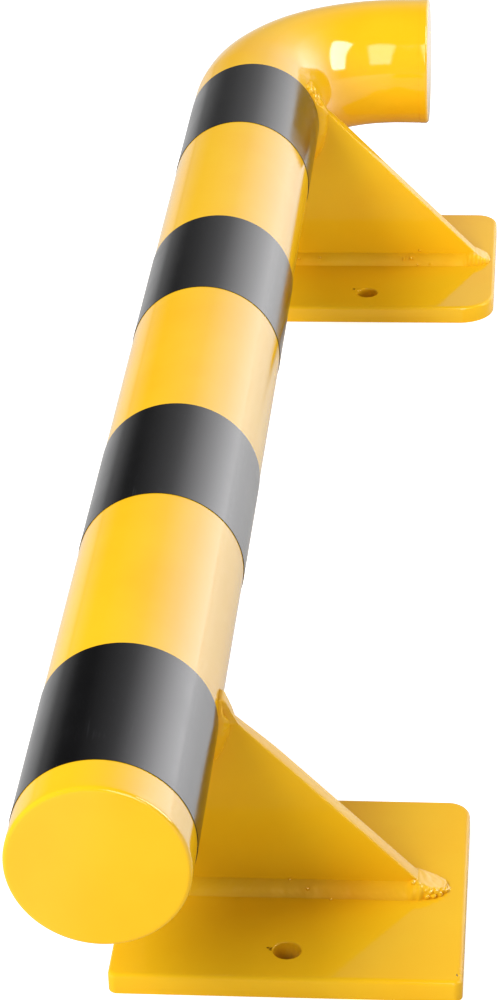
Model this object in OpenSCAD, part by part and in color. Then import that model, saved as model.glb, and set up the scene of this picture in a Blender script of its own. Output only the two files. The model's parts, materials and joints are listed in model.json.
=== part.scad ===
/* [Tube] */
// Outside diameter of the tube
tube_d = 76; // [60:1:90]
// Wall of the tube
tube_wall = 3; // [2:0.5:5]
// Whole length, from the near end disc's face to the outside of the bend
guard_len = 900; // [860:1:1200]
// Height of the tube's axis over the floor
axis_h = 102; // [90:1:120]
// Radius of the bend, at the tube's axis
bend_r = 82; // [70:1:90]
// Straight tube between the bend and the short leg's end disc
leg_straight = 13; // [1:1:60]

/* [End discs] */
// Thickness of the discs that close the tube
disc_t = 5; // [3:0.5:8]
// Rounding of a disc's outer edge
disc_edge_r = 2; // [0.5:0.25:2.5]

/* [Hazard bands] */
// Distance from the near end to the first band
band_start = 20; // [8:1:40]
// Width of a band
band_w = 88; // [60:1:110]
// Bare tube between the first band and the near bracket's weld
near_band_clear = 3; // [0.5:0.5:10]
// Bare tube between the far bracket's weld and the last band
far_band_clear = 0.5; // [0.5:0.5:10]
// Thickness of the band film
film_t = 0.25; // [0.1:0.05:0.5]

/* [Base plates] */
// Size of a base plate across the tube
plate_w = 150; // [120:1:170]
// Size of a base plate along the tube
plate_l = 135; // [120:1:160]
// Thickness of a base plate
plate_t = 10; // [6:1:14]
// Rounding of the near plate's two corners towards the near end
near_front_corner_r = 4; // [4:1:20]
// Rounding of the near plate's two corners towards the bend
near_back_corner_r = 10; // [4:1:20]
// Rounding of the far plate's two corners towards the near end
far_front_corner_r = 20; // [4:1:20]
// Rounding of the far plate's two corners towards the bend
far_back_corner_r = 12; // [4:1:20]
// Rounding of a plate's upper edges
plate_edge_r = 2; // [0.5:0.25:3]
// How far a base plate reaches back past the tube's axis
plate_back = 7.5; // [0:0.5:15]

/* [Anchor holes] */
// Diameter of an anchor hole
hole_d = 12; // [8:1:16]
// Distance from a plate's edge to the middle of its anchor hole
hole_inset = 20; // [14:1:26]

/* [Gussets] */
// Thickness of a gusset
gusset_t = 8; // [5:0.5:10]
// Distance from a plate's inner edge to its gusset's inner edge, under the tube
gusset_inset = 7.5; // [2:0.5:20]
// Height over the tube's axis where the near gusset's slope meets the tube
near_top = 1.5; // [0:0.5:8]
// Height over the tube's axis where the far gusset's slope meets the tube
far_top = 12.5; // [4:0.5:16]
// Distance from the near gusset's toe to the plate's outer edge
near_toe_gap = 17.5; // [12:0.5:24]
// Distance from the far gusset's toe to the plate's outer edge
far_toe_gap = 8.5; // [7:0.5:16]
// Height of the blunt nose at a gusset's toe
nose_h = 3; // [2:0.5:6]

/* [Welds] */
// Leg of the fillet between a gusset and its plate
foot_leg = 6; // [4:0.5:8]
// Leg of the fillet between a gusset and the tube
tube_leg = 5; // [3:0.5:5]
// How far the near foot weld runs out past its gusset's toe, over the plate
near_toe_run = 11; // [6:0.5:12]
// How far the far foot weld runs out past its gusset's toe, over the plate
far_toe_run = 6; // [4:0.5:7]
// Length of the tube weld down a gusset's slope
slope_run = 12; // [8:0.5:14]
// Length of the near tube weld up the tube's side, over the gusset's slope
near_crown_run = 6; // [4:0.5:10]
// Length of the far tube weld up the tube's side, over the gusset's slope
far_crown_run = 10; // [6:0.5:12]
// Height of the tube weld over the tube, where it ends above a gusset
crown_h = 2.5; // [1.5:0.25:3.5]
// Straight tube between the far bracket's weld and the bend
bend_clear = 1; // [0.5:0.5:20]

/* [Fits] */
// Clearance between the tube and what is curved to sit on it
seat_gap = 0.05; // [0.02:0.01:0.2]
// Step from a gusset's side to the side of the weld that caps its slope
cap_inset = 0.5; // [0.25:0.25:1.5]

/* [Hidden] */
$fn = 96;

paint_yellow = "#fcc417";
film_black = "#1b1b1d";

band_count = 4;
tube_r = tube_d / 2;
seat_r = tube_r + seat_gap;
film_r = seat_r + film_t;
leg_y = guard_len - tube_r;
bend_start = leg_y - bend_r;
leg_end_x = bend_r + leg_straight;

// A bracket's half width along the tube, weld included
bracket_half = gusset_t / 2 + tube_leg;
near_bracket_y = band_start + band_w + near_band_clear + bracket_half;
far_bracket_y = bend_start - bend_clear - bracket_half;
last_band_end = far_bracket_y - bracket_half - far_band_clear;
band_pitch = (last_band_end - band_start - band_w) / (band_count - 1);

plate_out = plate_w - plate_back;
gusset_in = gusset_inset - plate_back;
near_toe_x = plate_out - near_toe_gap;
far_toe_x = plate_out - far_toe_gap;
// How far a cutting shape stands past what it cuts, and an outline into the space it is trimmed to
cut = 1;
cope = 5;

// From the tube's own axes, with the near end at Y 0, to the middle of the whole guard's footprint
module placed() {
    translate([(film_r - plate_out) / 2, -guard_len / 2, 0]) children();
}

// An upright outline, drawn across and up, given a thickness along the tube
module slab(y, thickness) {
    translate([0, y + thickness / 2, 0]) rotate([90, 0, 0]) linear_extrude(thickness) children();
}

// The tube's wall, as a ring
module tube_ring() {
    difference() {
        circle(r = tube_r);
        circle(r = tube_r - tube_wall);
    }
}

module guard_tube() {
    color(paint_yellow) placed() translate([0, 0, axis_h]) union() {
        translate([0, disc_t, 0]) rotate([-90, 0, 0]) linear_extrude(bend_start - disc_t) tube_ring();
        translate([bend_r, bend_start, 0]) rotate([0, 0, 90])
            rotate_extrude(angle = 90) translate([bend_r, 0]) tube_ring();
        translate([bend_r, leg_y, 0]) rotate([0, 90, 0])
            linear_extrude(leg_straight) tube_ring();
    }
}

// Section of a flat piece, from its middle outwards, with its upper edge rounded
module rounded_section(reach, thickness, edge_r) {
    square([reach, thickness - edge_r]);
    square([reach - edge_r, thickness]);
    intersection() {
        translate([reach - edge_r, thickness - edge_r]) circle(r = edge_r);
        square([reach, thickness]);
    }
}

// A disc with its flat inner face at the origin and its rounded outer edge upwards
module end_disc() {
    rotate_extrude() rounded_section(tube_r, disc_t, disc_edge_r);
}

module near_end_disc() {
    color(paint_yellow) placed() translate([0, disc_t, axis_h]) rotate([90, 0, 0]) end_disc();
}

module leg_end_disc() {
    color(paint_yellow) placed() translate([leg_end_x, leg_y, axis_h]) rotate([0, 90, 0]) end_disc();
}

// One side of a plate, from the corner before it to the corner after it, and that second corner.
// The side is at a distance out from the plate's middle, and the plate reaches as far as along beside it.
module plate_side(out, along, before_r, after_r, rim_w) {
    translate([out - rim_w, along - after_r, 0]) rotate([90, 0, 0])
        linear_extrude(2 * along - before_r - after_r)
            rounded_section(rim_w, plate_t, plate_edge_r);
    translate([out - after_r, along - after_r, 0])
        rotate_extrude(angle = 90) rounded_section(after_r, plate_t, plate_edge_r);
}

// A plate with round corners and an anchor hole on each side of its gusset
module base_plate(y, front_r, back_r) {
    rim_w = max(front_r, back_r);
    half = [plate_w / 2, plate_l / 2];
    corner_r = [back_r, back_r, front_r, front_r];
    hole_y = plate_l / 2 - hole_inset;
    color(paint_yellow) placed() translate([plate_out - plate_w / 2, y, 0]) difference() {
        union() {
            linear_extrude(plate_t)
                square([plate_w - 2 * rim_w, plate_l - 2 * rim_w], center = true);
            for (i = [0:3]) rotate([0, 0, 90 * i])
                plate_side(half[i % 2], half[1 - i % 2], corner_r[(i + 3) % 4], corner_r[i], rim_w);
        }
        for (y = [-hole_y, hole_y])
            translate([0, y, -cut]) cylinder(d = hole_d, h = plate_t + 2 * cut);
    }
}

module near_base_plate() {
    base_plate(near_bracket_y, near_front_corner_r, near_back_corner_r);
}

module far_base_plate() {
    base_plate(far_bracket_y, far_front_corner_r, far_back_corner_r);
}

// Distance across from the tube's axis to where a slope meets the tube
function seat_x(top) = sqrt(seat_r * seat_r - top * top);

// Rise of a gusset's slope for each millimetre across, from its nose to the tube
function slope_rise(toe_x, top) = (axis_h + top - plate_t - nose_h) / (toe_x - seat_x(top));

// A point on a gusset's slope, at a distance across from the tube's axis
function on_slope(x, toe_x, top) = [x, plate_t + nose_h + (toe_x - x) * slope_rise(toe_x, top)];

// The disc of space that the tube takes up, seen along its axis
module tube_seat() {
    translate([0, axis_h]) circle(r = seat_r);
}

// Outline of a web that stands on the plate and slopes down to its toe, before the tube is cut out.
// A cutting copy has spare, which takes its foot and inner edge past the weld that it cuts.
module web_outline(toe_x, top, spare = 0) {
    polygon([[gusset_in - spare, plate_t - spare],
             [toe_x, plate_t - spare],
             [toe_x, plate_t + nose_h],
             on_slope(seat_x(top) - cope, toe_x, top),
             [gusset_in - spare, axis_h]]);
}

// A web coped to the tube's lower quarter
module gusset(y, toe_x, top) {
    color(paint_yellow) placed() slab(y, gusset_t) difference() {
        web_outline(toe_x, top);
        tube_seat();
    }
}

module near_gusset() {
    gusset(near_bracket_y, near_toe_x, near_top);
}

module far_gusset() {
    gusset(far_bracket_y, far_toe_x, far_top);
}

// Section of a weld on both sides of a gusset: one arc through the toes of both its fillets.
// The surface that the gusset stands on is at Y 0, and the section reaches a cut's depth below it.
module weld_section(leg) {
    half_w = gusset_t / 2 + leg;
    intersection() {
        translate([0, -gusset_t / 2]) circle(r = norm([half_w, gusset_t / 2]));
        translate([-half_w - cut, -cut]) square(2 * (half_w + cut));
    }
}

// The run round a gusset's foot: along one side, over the toe in a dome and back along the other side
module foot_weld(y, toe_x, top, toe_run) {
    dome_x = toe_x + toe_run - gusset_t / 2 - foot_leg;
    color(paint_yellow) placed() difference() {
        union() {
            translate([gusset_in, y, plate_t]) rotate([90, 0, 90])
                linear_extrude(dome_x - gusset_in) weld_section(foot_leg);
            translate([dome_x, y, plate_t]) rotate([0, 0, -90]) rotate_extrude(angle = 180)
                intersection() {
                    weld_section(foot_leg);
                    translate([0, -cut]) square(gusset_t + 2 * foot_leg);
                }
        }
        slab(y, gusset_t) web_outline(toe_x, top, cope);
        slab(y, plate_l) translate([gusset_in - cope, 0]) square([plate_w + cope, plate_t]);
    }
}

module near_foot_weld() {
    foot_weld(near_bracket_y, near_toe_x, near_top, near_toe_run);
}

module far_foot_weld() {
    foot_weld(far_bracket_y, far_toe_x, far_top, far_toe_run);
}

// The run round a gusset's cope: up one side, over the top of the slope and down the other side
module tube_weld(y, toe_x, top, crown_run) {
    crown_angle = asin(top / seat_r) + crown_run / seat_r * 180 / PI;
    foot_angle = acos(gusset_in / seat_r);
    slope_angle = atan(slope_rise(toe_x, top));
    crown_end = [0, axis_h] + (seat_r + crown_h) * [cos(crown_angle), sin(crown_angle)];
    slope_end = on_slope(seat_x(top) + slope_run * cos(slope_angle), toe_x, top);
    up = (crown_end - slope_end) / norm(crown_end - slope_end);
    out = [up.y, -up.x];
    low = slope_end - cope * up;
    color(paint_yellow) placed() difference() {
        union() {
            translate([0, y, axis_h]) rotate([-90, -crown_angle, 0])
                rotate_extrude(angle = crown_angle + foot_angle)
                    translate([seat_r, 0]) rotate(-90) weld_section(tube_leg);
            slab(y, gusset_t - cap_inset * 2)
                polygon([crown_end + cut * (out - up), low + cut * out, [seat_x(top) - cope, low.y]]);
        }
        slab(y, gusset_t) web_outline(toe_x, top, cope);
        slab(y, 2 * (bracket_half + cut)) tube_seat();
        slab(y, 2 * (bracket_half + cut))
            polygon([low, crown_end + cope * up, crown_end + cope * (up + 2 * out), low + 2 * cope * out]);
    }
}

module near_tube_weld() {
    tube_weld(near_bracket_y, near_toe_x, near_top, near_crown_run);
}

module far_tube_weld() {
    tube_weld(far_bracket_y, far_toe_x, far_top, far_crown_run);
}

// A band of film wrapped once round the tube
module hazard_band(bands_before) {
    y = band_start + bands_before * band_pitch;
    color(film_black) placed() translate([0, y, axis_h]) rotate([-90, 0, 0])
        linear_extrude(band_w) difference() {
            circle(r = film_r);
            circle(r = seat_r);
        }
}

guard_tube();
near_end_disc();
leg_end_disc();
near_base_plate();
far_base_plate();
near_gusset();
far_gusset();
near_foot_weld();
far_foot_weld();
near_tube_weld();
far_tube_weld();
hazard_band(0);  // hazard_band_1
hazard_band(1);  // hazard_band_2
hazard_band(2);  // hazard_band_3
hazard_band(3);  // hazard_band_4
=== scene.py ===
import json
import math

import bmesh
import bpy
from mathutils import Matrix, Vector, noise


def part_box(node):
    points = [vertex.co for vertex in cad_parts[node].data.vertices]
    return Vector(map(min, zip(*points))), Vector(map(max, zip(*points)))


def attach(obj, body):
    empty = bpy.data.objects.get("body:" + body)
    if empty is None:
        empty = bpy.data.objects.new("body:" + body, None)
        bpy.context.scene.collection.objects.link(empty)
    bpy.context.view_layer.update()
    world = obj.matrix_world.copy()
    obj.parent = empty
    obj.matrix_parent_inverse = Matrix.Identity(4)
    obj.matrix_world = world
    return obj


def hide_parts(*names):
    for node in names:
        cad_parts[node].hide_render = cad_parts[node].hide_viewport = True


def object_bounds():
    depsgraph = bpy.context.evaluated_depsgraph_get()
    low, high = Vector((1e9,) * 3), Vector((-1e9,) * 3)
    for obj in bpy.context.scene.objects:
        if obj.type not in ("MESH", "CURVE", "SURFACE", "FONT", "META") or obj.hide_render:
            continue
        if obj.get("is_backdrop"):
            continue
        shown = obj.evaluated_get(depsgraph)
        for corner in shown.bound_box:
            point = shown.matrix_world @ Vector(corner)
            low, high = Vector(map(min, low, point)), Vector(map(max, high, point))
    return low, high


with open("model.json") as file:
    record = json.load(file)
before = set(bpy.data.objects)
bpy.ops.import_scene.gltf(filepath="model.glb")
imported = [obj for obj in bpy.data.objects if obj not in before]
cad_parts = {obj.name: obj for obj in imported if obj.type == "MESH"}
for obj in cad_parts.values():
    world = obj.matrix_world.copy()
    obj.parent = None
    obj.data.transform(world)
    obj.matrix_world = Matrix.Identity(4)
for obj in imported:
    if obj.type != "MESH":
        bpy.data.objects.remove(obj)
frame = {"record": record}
cad_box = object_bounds()

SIDES = ("near", "far")
MM = 0.001

# Sizes that the frame's boxes don't hold, in metres
BEND_R = 82 * MM
TUBE_WALL = 3 * MM
FILM_T = 0.25 * MM
# An end disc's edge, and the narrow rim inside it
DISC_EDGE_R = 2 * MM
DISC_RIM = 1.5 * MM
# A base plate's front and back corners, and the lower and upper edges of the plates and of their holes
PLATE_CORNERS = {"near": (4 * MM, 10 * MM), "far": (20 * MM, 12 * MM)}
PLATE_EDGES = (0.3 * MM, 2 * MM)
HOLE_EDGES = (0.3 * MM, 0.6 * MM)
# The narrow rim round a flat face, which takes the turn of the shading at its edge
CAP_RIM = 0.3 * MM
# A gusset's edges, the height and the corner of its blunt nose, and the gap between its cope and the tube
WEB_EDGE_R = 0.8 * MM
NOSE_H = 3 * MM
NOSE_R = 1 * MM
SEAT_GAP = 0.05 * MM
# How far a slope's back edge is ground down at its top, and the length over which that fades out
GROUND_DOWN = {"near": (2.3 * MM, 26 * MM), "far": (1.2 * MM, 20 * MM)}
# The legs of the two weld runs, and how deep a run reaches into what it joins
FOOT_LEG = 6 * MM
TUBE_LEG = 5 * MM
ROOT = 0.15 * MM
# The lumps at the foot weld's toe: how far the first lies from the tip, how far apart they are, their height
TOE_LUMPS = {"near": (13.5 * MM, 3.8 * MM), "far": (8 * MM, 2.6 * MM)}
LUMP_H = 0.3 * MM
# The tube weld's crown: how far down the slope it starts, how far it climbs the tube, its height there
CROWN_START = 12 * MM
CROWN_RUN = {"near": 4.5 * MM, "far": 10 * MM}
CROWN_H = {"near": 2 * MM, "far": 2.5 * MM}
# The crown's ridge: its reach to the front and back, and the height of the beads in front and behind
CROWN_RIDGE = {"near": (5.0 * MM, 5.0 * MM, 1.8 * MM, 0.2 * MM),
               "far": (5.5 * MM, 5.5 * MM, 1.3 * MM, 0.8 * MM)}
# The most that the tube weld's bead stands up below the crown
BEAD_H = 6 * MM
# What makes the welds' lumps and the spatter's turns differ between the two ends
SEEDS = {"near": 4, "far": 3}

cap_lo, cap_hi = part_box("near_end_disc")
tube_lo, tube_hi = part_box("guard_tube")
TUBE_R = (cap_hi.x - cap_lo.x) / 2
AXIS_X = (cap_hi.x + cap_lo.x) / 2
AXIS_Z = (cap_hi.z + cap_lo.z) / 2
SEAT_R = TUBE_R + SEAT_GAP
DISC_T = cap_hi.y - cap_lo.y
LEG_Y = tube_hi.y - TUBE_R
BEND_START = LEG_Y - BEND_R


def linear(hex_colour):
    """An sRGB hex colour as the linear colour that a shader takes."""
    parts = [int(hex_colour[i:i + 2], 16) / 255 for i in (1, 3, 5)]
    return tuple(c / 12.92 if c <= 0.04045 else ((c + 0.055) / 1.055) ** 2.4 for c in parts) + (1.0,)


def add(tree, kind, inputs=None, output=None, **settings):
    """Adds a node with its settings, and gives its named output or else the first one in use. An input takes
    a value, or the output that it is linked from."""
    made = tree.nodes.new(kind)
    for name, value in settings.items():
        setattr(made, name, value)
    for name, value in (inputs or {}).items():
        if isinstance(value, bpy.types.NodeSocket):
            tree.links.new(value, made.inputs[name])
        else:
            made.inputs[name].default_value = value
    return made.outputs[output] if output else next((out for out in made.outputs if out.enabled), None)


def smooth_step(value):
    """0 below 0 and 1 above 1, with a soft rise between them."""
    value = min(max(value, 0.0), 1.0)
    return value * value * (3 - 2 * value)


# Materials

def new_material(name):
    """An empty material and its node tree."""
    made = bpy.data.materials.new(name)
    made.use_nodes = True
    made.node_tree.nodes.clear()
    return made, made.node_tree


COAT, STEEL = "#FCC61E", "#A39C92"
# Where the coat is chipped to bare steel: the place, and how wide the chip is, in millimetres
CHIPS = ((8.6, -376.9, 10, 1.5), (7.2, -376.2, 10, 0.9), (89.7, -343.5, 9.6, 0.9), (88.6, -391.8, 10, 1.0),
         (89.2, -396.5, 9.0, 0.8), (7.2, 277.4, 10, 1.2))


def chipped(tree, place):
    """1 on the chips and 0 off them, with ragged edges."""
    ragged = add(tree, "ShaderNodeTexNoise", {"Vector": place, "Scale": 1 / (0.9 * MM), "Detail": 2.0})
    amount = 0.0
    for x, y, z, width in CHIPS:
        away = add(tree, "ShaderNodeVectorMath", {0: place, 1: (x * MM, y * MM, z * MM)},
                   operation="DISTANCE")
        spread = add(tree, "ShaderNodeMath", {0: ragged, 1: 1.6 * width * MM}, operation="MULTIPLY")
        inside = add(tree, "ShaderNodeMath", {0: away, 1: spread}, operation="LESS_THAN")
        amount = add(tree, "ShaderNodeMath", {0: amount, 1: inside}, operation="MAXIMUM")
    return amount


def powder_coat(name, thick_colour="#FBBF16", gloss=(0.07, 0.10), specular=0.5, chips=False):
    """Polyester powder coat, sprayed on steel and baked. It gives the eye a glossy skin with a faint orange
    peel, thin clouds of a deeper yellow where the coat is thicker, and a few grains of dust under the gloss.
    The coat lies duller on a weld, on a gusset, and on a cut edge, where it draws thin."""
    made, tree = new_material(name)
    place = add(tree, "ShaderNodeTexCoord", output="Object")
    # Clouds about 45 mm across
    clouds = add(tree, "ShaderNodeTexNoise", {"Vector": place, "Scale": 1 / (45 * MM), "Detail": 3.0})
    thickness = add(tree, "ShaderNodeMapRange", {"Value": clouds, "From Min": 0.35, "From Max": 0.75})
    surface = add(tree, "ShaderNodeMix", {"Factor": thickness, "A": linear(COAT), "B": linear(thick_colour)},
                  data_type="RGBA")
    # Orange peel about 1.8 mm across, and dust grains 0.5 mm across
    peel = add(tree, "ShaderNodeTexNoise", {"Vector": place, "Scale": 1 / (1.8 * MM), "Detail": 1.0})
    dust = add(tree, "ShaderNodeTexVoronoi", {"Vector": place, "Scale": 1 / (11 * MM)})
    grain = add(tree, "ShaderNodeMapRange", {"Value": dust, "From Max": 0.035, "To Min": 1.0, "To Max": 0.0})
    peel_bump = add(tree, "ShaderNodeBump", {"Height": peel, "Strength": 0.10, "Distance": 0.1 * MM})
    grain_bump = add(tree, "ShaderNodeBump", {"Height": grain, "Strength": 0.35, "Distance": 0.1 * MM,
                                              "Normal": peel_bump})
    rough = add(tree, "ShaderNodeMapRange", {"Value": clouds, "From Min": 0.3, "From Max": 0.7,
                                             "To Min": gloss[0], "To Max": gloss[1]})
    bare = 0.0
    if chips:
        bare = chipped(tree, place)
        surface = add(tree, "ShaderNodeMix", {"Factor": bare, "A": surface, "B": linear(STEEL)},
                      data_type="RGBA")
    shader = add(tree, "ShaderNodeBsdfPrincipled", {
        "Base Color": surface, "Metallic": bare, "Roughness": rough, "Normal": grain_bump, "IOR": 1.5,
        "Specular IOR Level": specular})
    add(tree, "ShaderNodeOutputMaterial", {"Surface": shader})
    return made


def vinyl_film(name, colour, scuff_colour):
    """Cast vinyl film, wrapped round the tube. It gives the eye a smooth satin black that mirrors the
    studio softly, with hairline scratches from handling and faint dull scuffs."""
    made, tree = new_material(name)
    place = add(tree, "ShaderNodeTexCoord", output="Object")
    # Scuffs about 22 mm across
    scuffs = add(tree, "ShaderNodeTexNoise", {"Vector": place, "Scale": 1 / (22 * MM), "Detail": 5.0,
                                              "Roughness": 0.6})
    scuffed = add(tree, "ShaderNodeMapRange", {"Value": scuffs, "From Min": 0.55, "From Max": 0.8,
                                               "To Max": 0.6})
    # Hairlines 0.3 mm wide and some 15 mm long, in two directions
    hairlines = []
    for turn, offset in ((0.45, 0.0), (-0.75, 3.0)):
        laid = add(tree, "ShaderNodeMapping", {"Vector": place, "Rotation": (turn, turn * 0.5, turn),
                                               "Location": (offset, offset, 0.0), "Scale": (1.0, 0.02, 1.0)})
        streaks = add(tree, "ShaderNodeTexNoise", {"Vector": laid, "Scale": 1 / (0.9 * MM), "Detail": 0.0})
        hairlines.append(add(tree, "ShaderNodeMapRange", {"Value": streaks, "From Min": 0.72,
                                                          "From Max": 0.8}))
    scratched = add(tree, "ShaderNodeMath", {0: hairlines[1], 1: hairlines[0]}, operation="MAXIMUM")
    amount = add(tree, "ShaderNodeMath", {0: scratched, 1: scuffed}, operation="MULTIPLY")
    surface = add(tree, "ShaderNodeMix", {"Factor": amount, "A": linear(colour), "B": linear(scuff_colour)},
                  data_type="RGBA")
    rough = add(tree, "ShaderNodeMapRange", {"Value": scuffs, "From Min": 0.3, "From Max": 0.75,
                                             "To Min": 0.13, "To Max": 0.22})
    bump = add(tree, "ShaderNodeBump", {"Height": amount, "Strength": 0.3, "Distance": 0.05 * MM})
    shader = add(tree, "ShaderNodeBsdfPrincipled", {
        "Base Color": surface, "Roughness": rough, "Normal": bump, "IOR": 1.5, "Specular IOR Level": 0.6,
        "Specular Tint": (0.97, 0.955, 1.0, 1.0)})
    add(tree, "ShaderNodeOutputMaterial", {"Surface": shader})
    return made


YELLOW = powder_coat("yellow_powder_coat_on_steel")
PLATE_YELLOW = powder_coat("yellow_powder_coat_chipped", chips=True)
WEB_YELLOW = powder_coat("yellow_powder_coat_on_web", specular=0.22)
WELD_YELLOW = powder_coat("yellow_powder_coat_on_weld", "#F4B00C", gloss=(0.34, 0.44), specular=0.3)
EDGE_YELLOW = powder_coat("yellow_powder_coat_on_cut_edge", "#F6B512", gloss=(0.2, 0.3), specular=0.2)
PAD_YELLOW = powder_coat("yellow_powder_coat_on_weld_end", "#F6B512", gloss=(0.2, 0.3), specular=0.7)
BLOB_YELLOW = powder_coat("yellow_powder_coat_on_spatter", gloss=(0.12, 0.18))
BLACK = vinyl_film("black_vinyl_film", "#030304", "#4A4A4E")


# Pieces

def plain_mesh(name, bm, sharp_over=35):
    """A finished mesh from a bmesh: normals outwards, and edges over an angle kept sharp."""
    bmesh.ops.remove_doubles(bm, verts=bm.verts, dist=0.001 * MM)
    bmesh.ops.recalc_face_normals(bm, faces=bm.faces)
    mesh = bpy.data.meshes.new(name)
    bm.to_mesh(mesh)
    bm.free()
    mesh.set_sharp_from_angle(angle=math.radians(sharp_over))
    return mesh


def cleaned(mesh, name, sharp_over=35, all_smooth=True):
    """A finished mesh from the one that modifiers left."""
    bm = bmesh.new()
    bm.from_mesh(mesh)
    for face in bm.faces:
        face.smooth = face.smooth or all_smooth
    return plain_mesh(name, bm, sharp_over)


def new_object(name, data):
    """An object in the scene, from its mesh, lamp or camera."""
    made = bpy.data.objects.new(name, data)
    bpy.context.scene.collection.objects.link(made)
    return made


def settle(made):
    """Turns an object's modifiers into its plain mesh."""
    shape = made.evaluated_get(bpy.context.evaluated_depsgraph_get())
    mesh = bpy.data.meshes.new_from_object(shape)
    made.modifiers.clear()
    made.data = mesh
    return made


def finish_piece(made, material, *nodes, slot="yellow_powder_coat"):
    """Gives a piece its material, puts it under the root, and hides the CAD nodes that it stands for."""
    made.data.materials.clear()
    made.data.materials.append(material)
    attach(made, "root")
    if nodes:
        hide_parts(*nodes)
    return made


def repaint(made, material, chosen):
    """Gives a second material to the faces that a test chooses."""
    made.data.materials.append(material)
    for face in made.data.polygons:
        if chosen(face):
            face.material_index = 1


def new_tree(name, inputs):
    """An empty Geometry Nodes tree with its named inputs, given as name, kind and value."""
    tree = bpy.data.node_groups.new(name, "GeometryNodeTree")
    tree.interface.new_socket("Geometry", in_out="INPUT", socket_type="NodeSocketGeometry")
    for label, kind, value in inputs:
        socket = tree.interface.new_socket(label, in_out="INPUT", socket_type=kind)
        if value is not None:
            socket.default_value = value
    tree.interface.new_socket("Geometry", in_out="OUTPUT", socket_type="NodeSocketGeometry")
    return tree, add(tree, "NodeGroupInput").node.outputs


def end_tree(tree, geometry, amount, material=None):
    """Ends a tree: each point moves along its normal by an amount, and the faces get their material."""
    normal = add(tree, "GeometryNodeInputNormal")
    shift = add(tree, "ShaderNodeVectorMath", {0: normal, "Scale": amount}, operation="SCALE")
    ready = add(tree, "GeometryNodeSetPosition", {"Geometry": geometry, "Offset": shift})
    if material is not None:
        ready = add(tree, "GeometryNodeSetMaterial", {"Geometry": ready, "Material": material})
    add(tree, "NodeGroupOutput", {"Geometry": ready})
    return tree


def grow(made, tree, **sizes):
    """Runs a Geometry Nodes tree on an object, with the inputs set by their identifiers."""
    modifier = made.modifiers.new(tree.name, "NODES")
    modifier.node_group = tree
    for item in tree.interface.items_tree:
        if item.item_type == "SOCKET" and item.in_out == "INPUT" and item.name in sizes:
            modifier[item.identifier] = sizes[item.name]
    return settle(made)


def tube_along_path():
    """A tree that sweeps a round tube along a drawn path. Past Wave Start its surface is slightly uneven,
    as cold bending leaves it."""
    tree, given = new_tree("tube_along_path", (
        ("Radius", "NodeSocketFloat", 0.038), ("Sides", "NodeSocketInt", 128),
        ("Wave Depth", "NodeSocketFloat", 0.0), ("Wave Size", "NodeSocketFloat", 0.03),
        ("Wave Start", "NodeSocketFloat", 0.0), ("Wave Fade", "NodeSocketFloat", 0.02),
        ("Material", "NodeSocketMaterial", None)))
    path = add(tree, "GeometryNodeMeshToCurve", {"Mesh": given["Geometry"]})
    upright_path = add(tree, "GeometryNodeSetCurveNormal", {"Curve": path}, mode="Z_UP")
    ring = add(tree, "GeometryNodeCurvePrimitiveCircle", {"Radius": given["Radius"],
                                                          "Resolution": given["Sides"]})
    swept = add(tree, "GeometryNodeCurveToMesh", {"Curve": upright_path, "Profile Curve": ring})
    place = add(tree, "GeometryNodeInputPosition")
    along = add(tree, "ShaderNodeSeparateXYZ", {"Vector": place}, output="Y")
    past = add(tree, "ShaderNodeMath", {0: along, 1: given["Wave Start"]}, operation="SUBTRACT")
    share = add(tree, "ShaderNodeMapRange", {"Value": past, "From Max": given["Wave Fade"]},
                interpolation_type="SMOOTHSTEP")
    scale = add(tree, "ShaderNodeMath", {0: 1.0, 1: given["Wave Size"]}, operation="DIVIDE")
    waves = add(tree, "ShaderNodeTexNoise", {"Vector": place, "Scale": scale, "Detail": 1.0})
    amount = -1.0
    for factor in (waves, given["Wave Depth"], share):
        amount = add(tree, "ShaderNodeMath", {0: factor, 1: amount}, operation="MULTIPLY")
    return end_tree(tree, swept, amount, given["Material"])


TUBE_TREE = tube_along_path()


def tube_piece(name, path, radius, wall, material, slot="yellow_powder_coat", **wave):
    """A hollow tube or ring along a path, which replaces the CAD node of its name."""
    mesh = bpy.data.meshes.new(name)
    mesh.from_pydata(path, [(i, i + 1) for i in range(len(path) - 1)], [])
    made = grow(new_object(name, mesh), TUBE_TREE, Radius=radius, Material=material, **wave)
    shell = made.modifiers.new("wall", "SOLIDIFY")
    shell.thickness = wall
    shell.offset = -1.0
    shell.use_rim = True
    settle(made)
    made.data = cleaned(made.data, name)
    finish_piece(made, material, name, slot=slot)


def guard_path(long_steps=12, bend_steps=72, leg_steps=6):
    """The tube's own axis: the long stretch, the bend and the short leg."""
    points = [(AXIS_X, tube_lo.y + (BEND_START - tube_lo.y) * i / long_steps, AXIS_Z)
              for i in range(long_steps)]
    for i in range(bend_steps + 1):
        turn = math.pi / 2 * i / bend_steps
        points.append((AXIS_X + BEND_R * (1 - math.cos(turn)), BEND_START + BEND_R * math.sin(turn), AXIS_Z))
    leg_start = AXIS_X + BEND_R
    return points + [(leg_start + (tube_hi.x - leg_start) * i / leg_steps, LEG_Y, AXIS_Z)
                     for i in range(1, leg_steps + 1)]


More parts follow.
